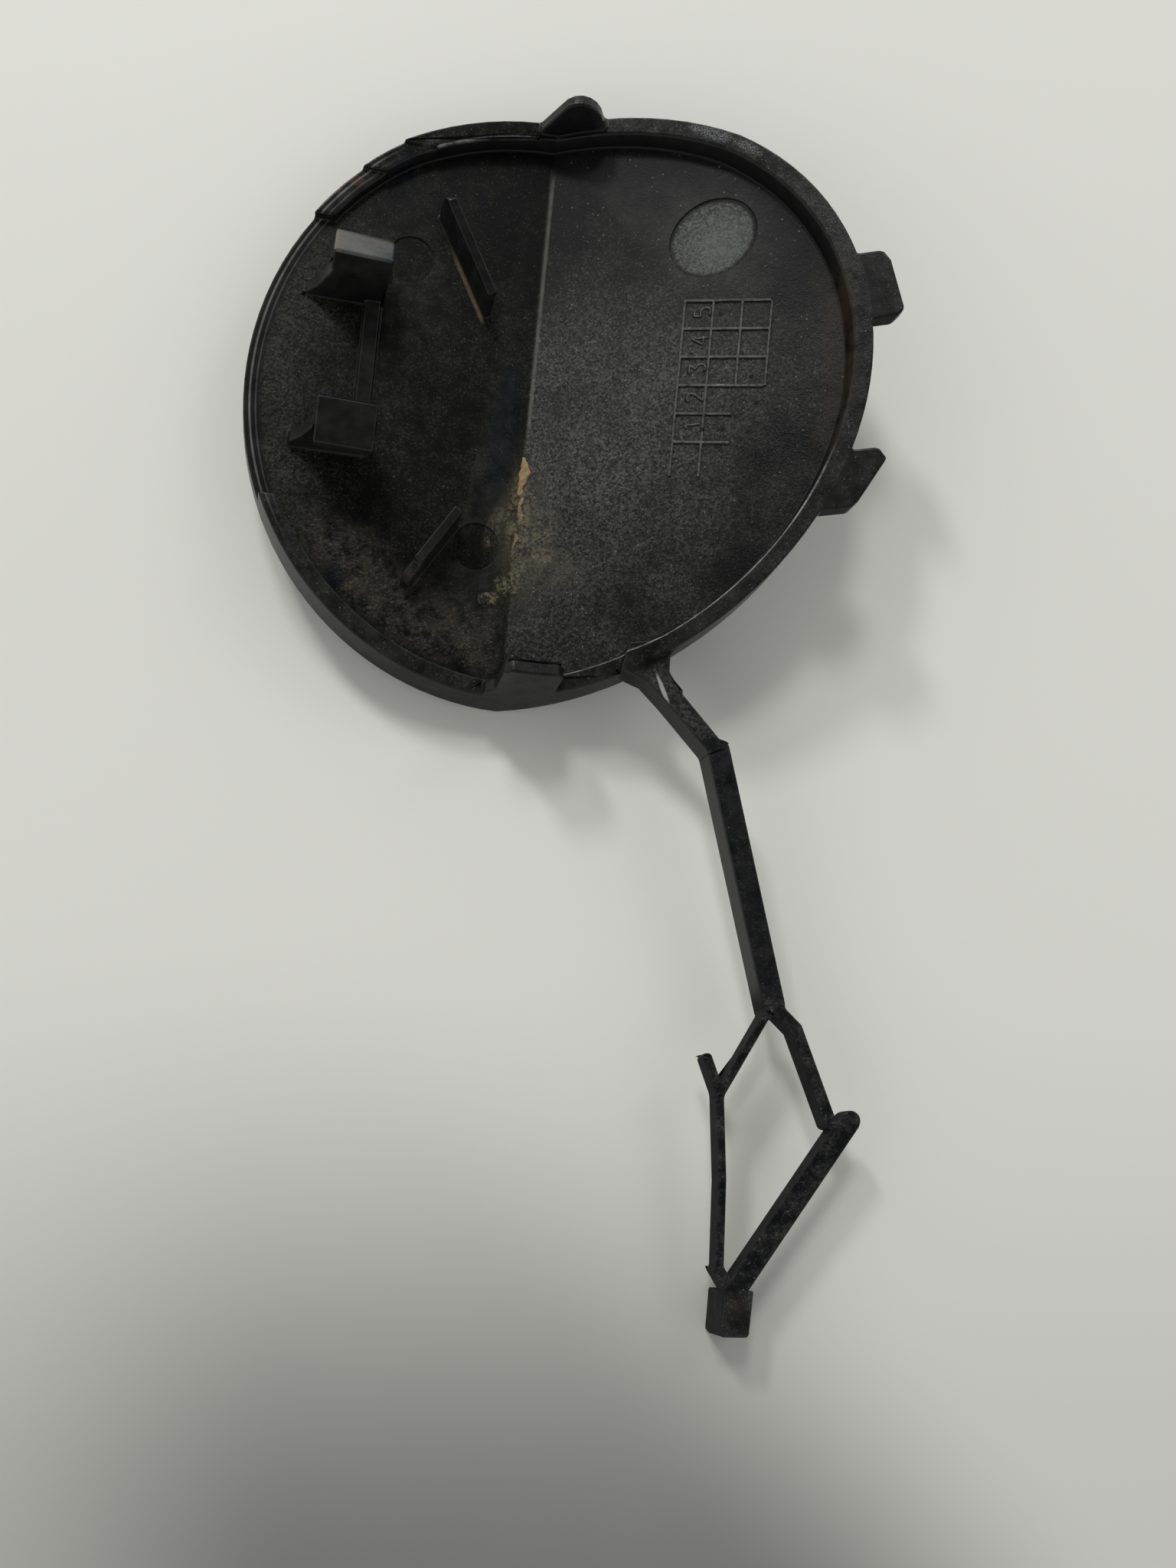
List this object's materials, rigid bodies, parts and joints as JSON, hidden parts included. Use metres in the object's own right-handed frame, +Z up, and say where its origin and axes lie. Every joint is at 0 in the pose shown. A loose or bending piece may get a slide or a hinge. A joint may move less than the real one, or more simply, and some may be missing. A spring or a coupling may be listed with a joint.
{
  "type": "tow eye cover",
  "caption": "Round bumper cap that closes the hole over a car's tow eye, creased face, rim, snap clips, tongues and tabs behind, with a moulded tether strap and arrow-shaped anchor.",
  "frame": {"origin": "middle of the overall box at the height of the table that the part lies on", "axes": "+Z up from the table: the outside of the cap faces down and its back, with the clips, faces up; +Y from the anchor of the strap to the top tongue of the cap; +X towards the side with the two tabs"},
  "size_m": [0.0886, 0.1716, 0.0184],
  "materials": {
    "black_plastic": "bare black moulded thermoplastic, finely grained on its back, satin on its front, with dust and dried mud"
  },
  "bodies": {
    "root": {"tow_eye_cover": "black_plastic"}
  },
  "joints": []
}
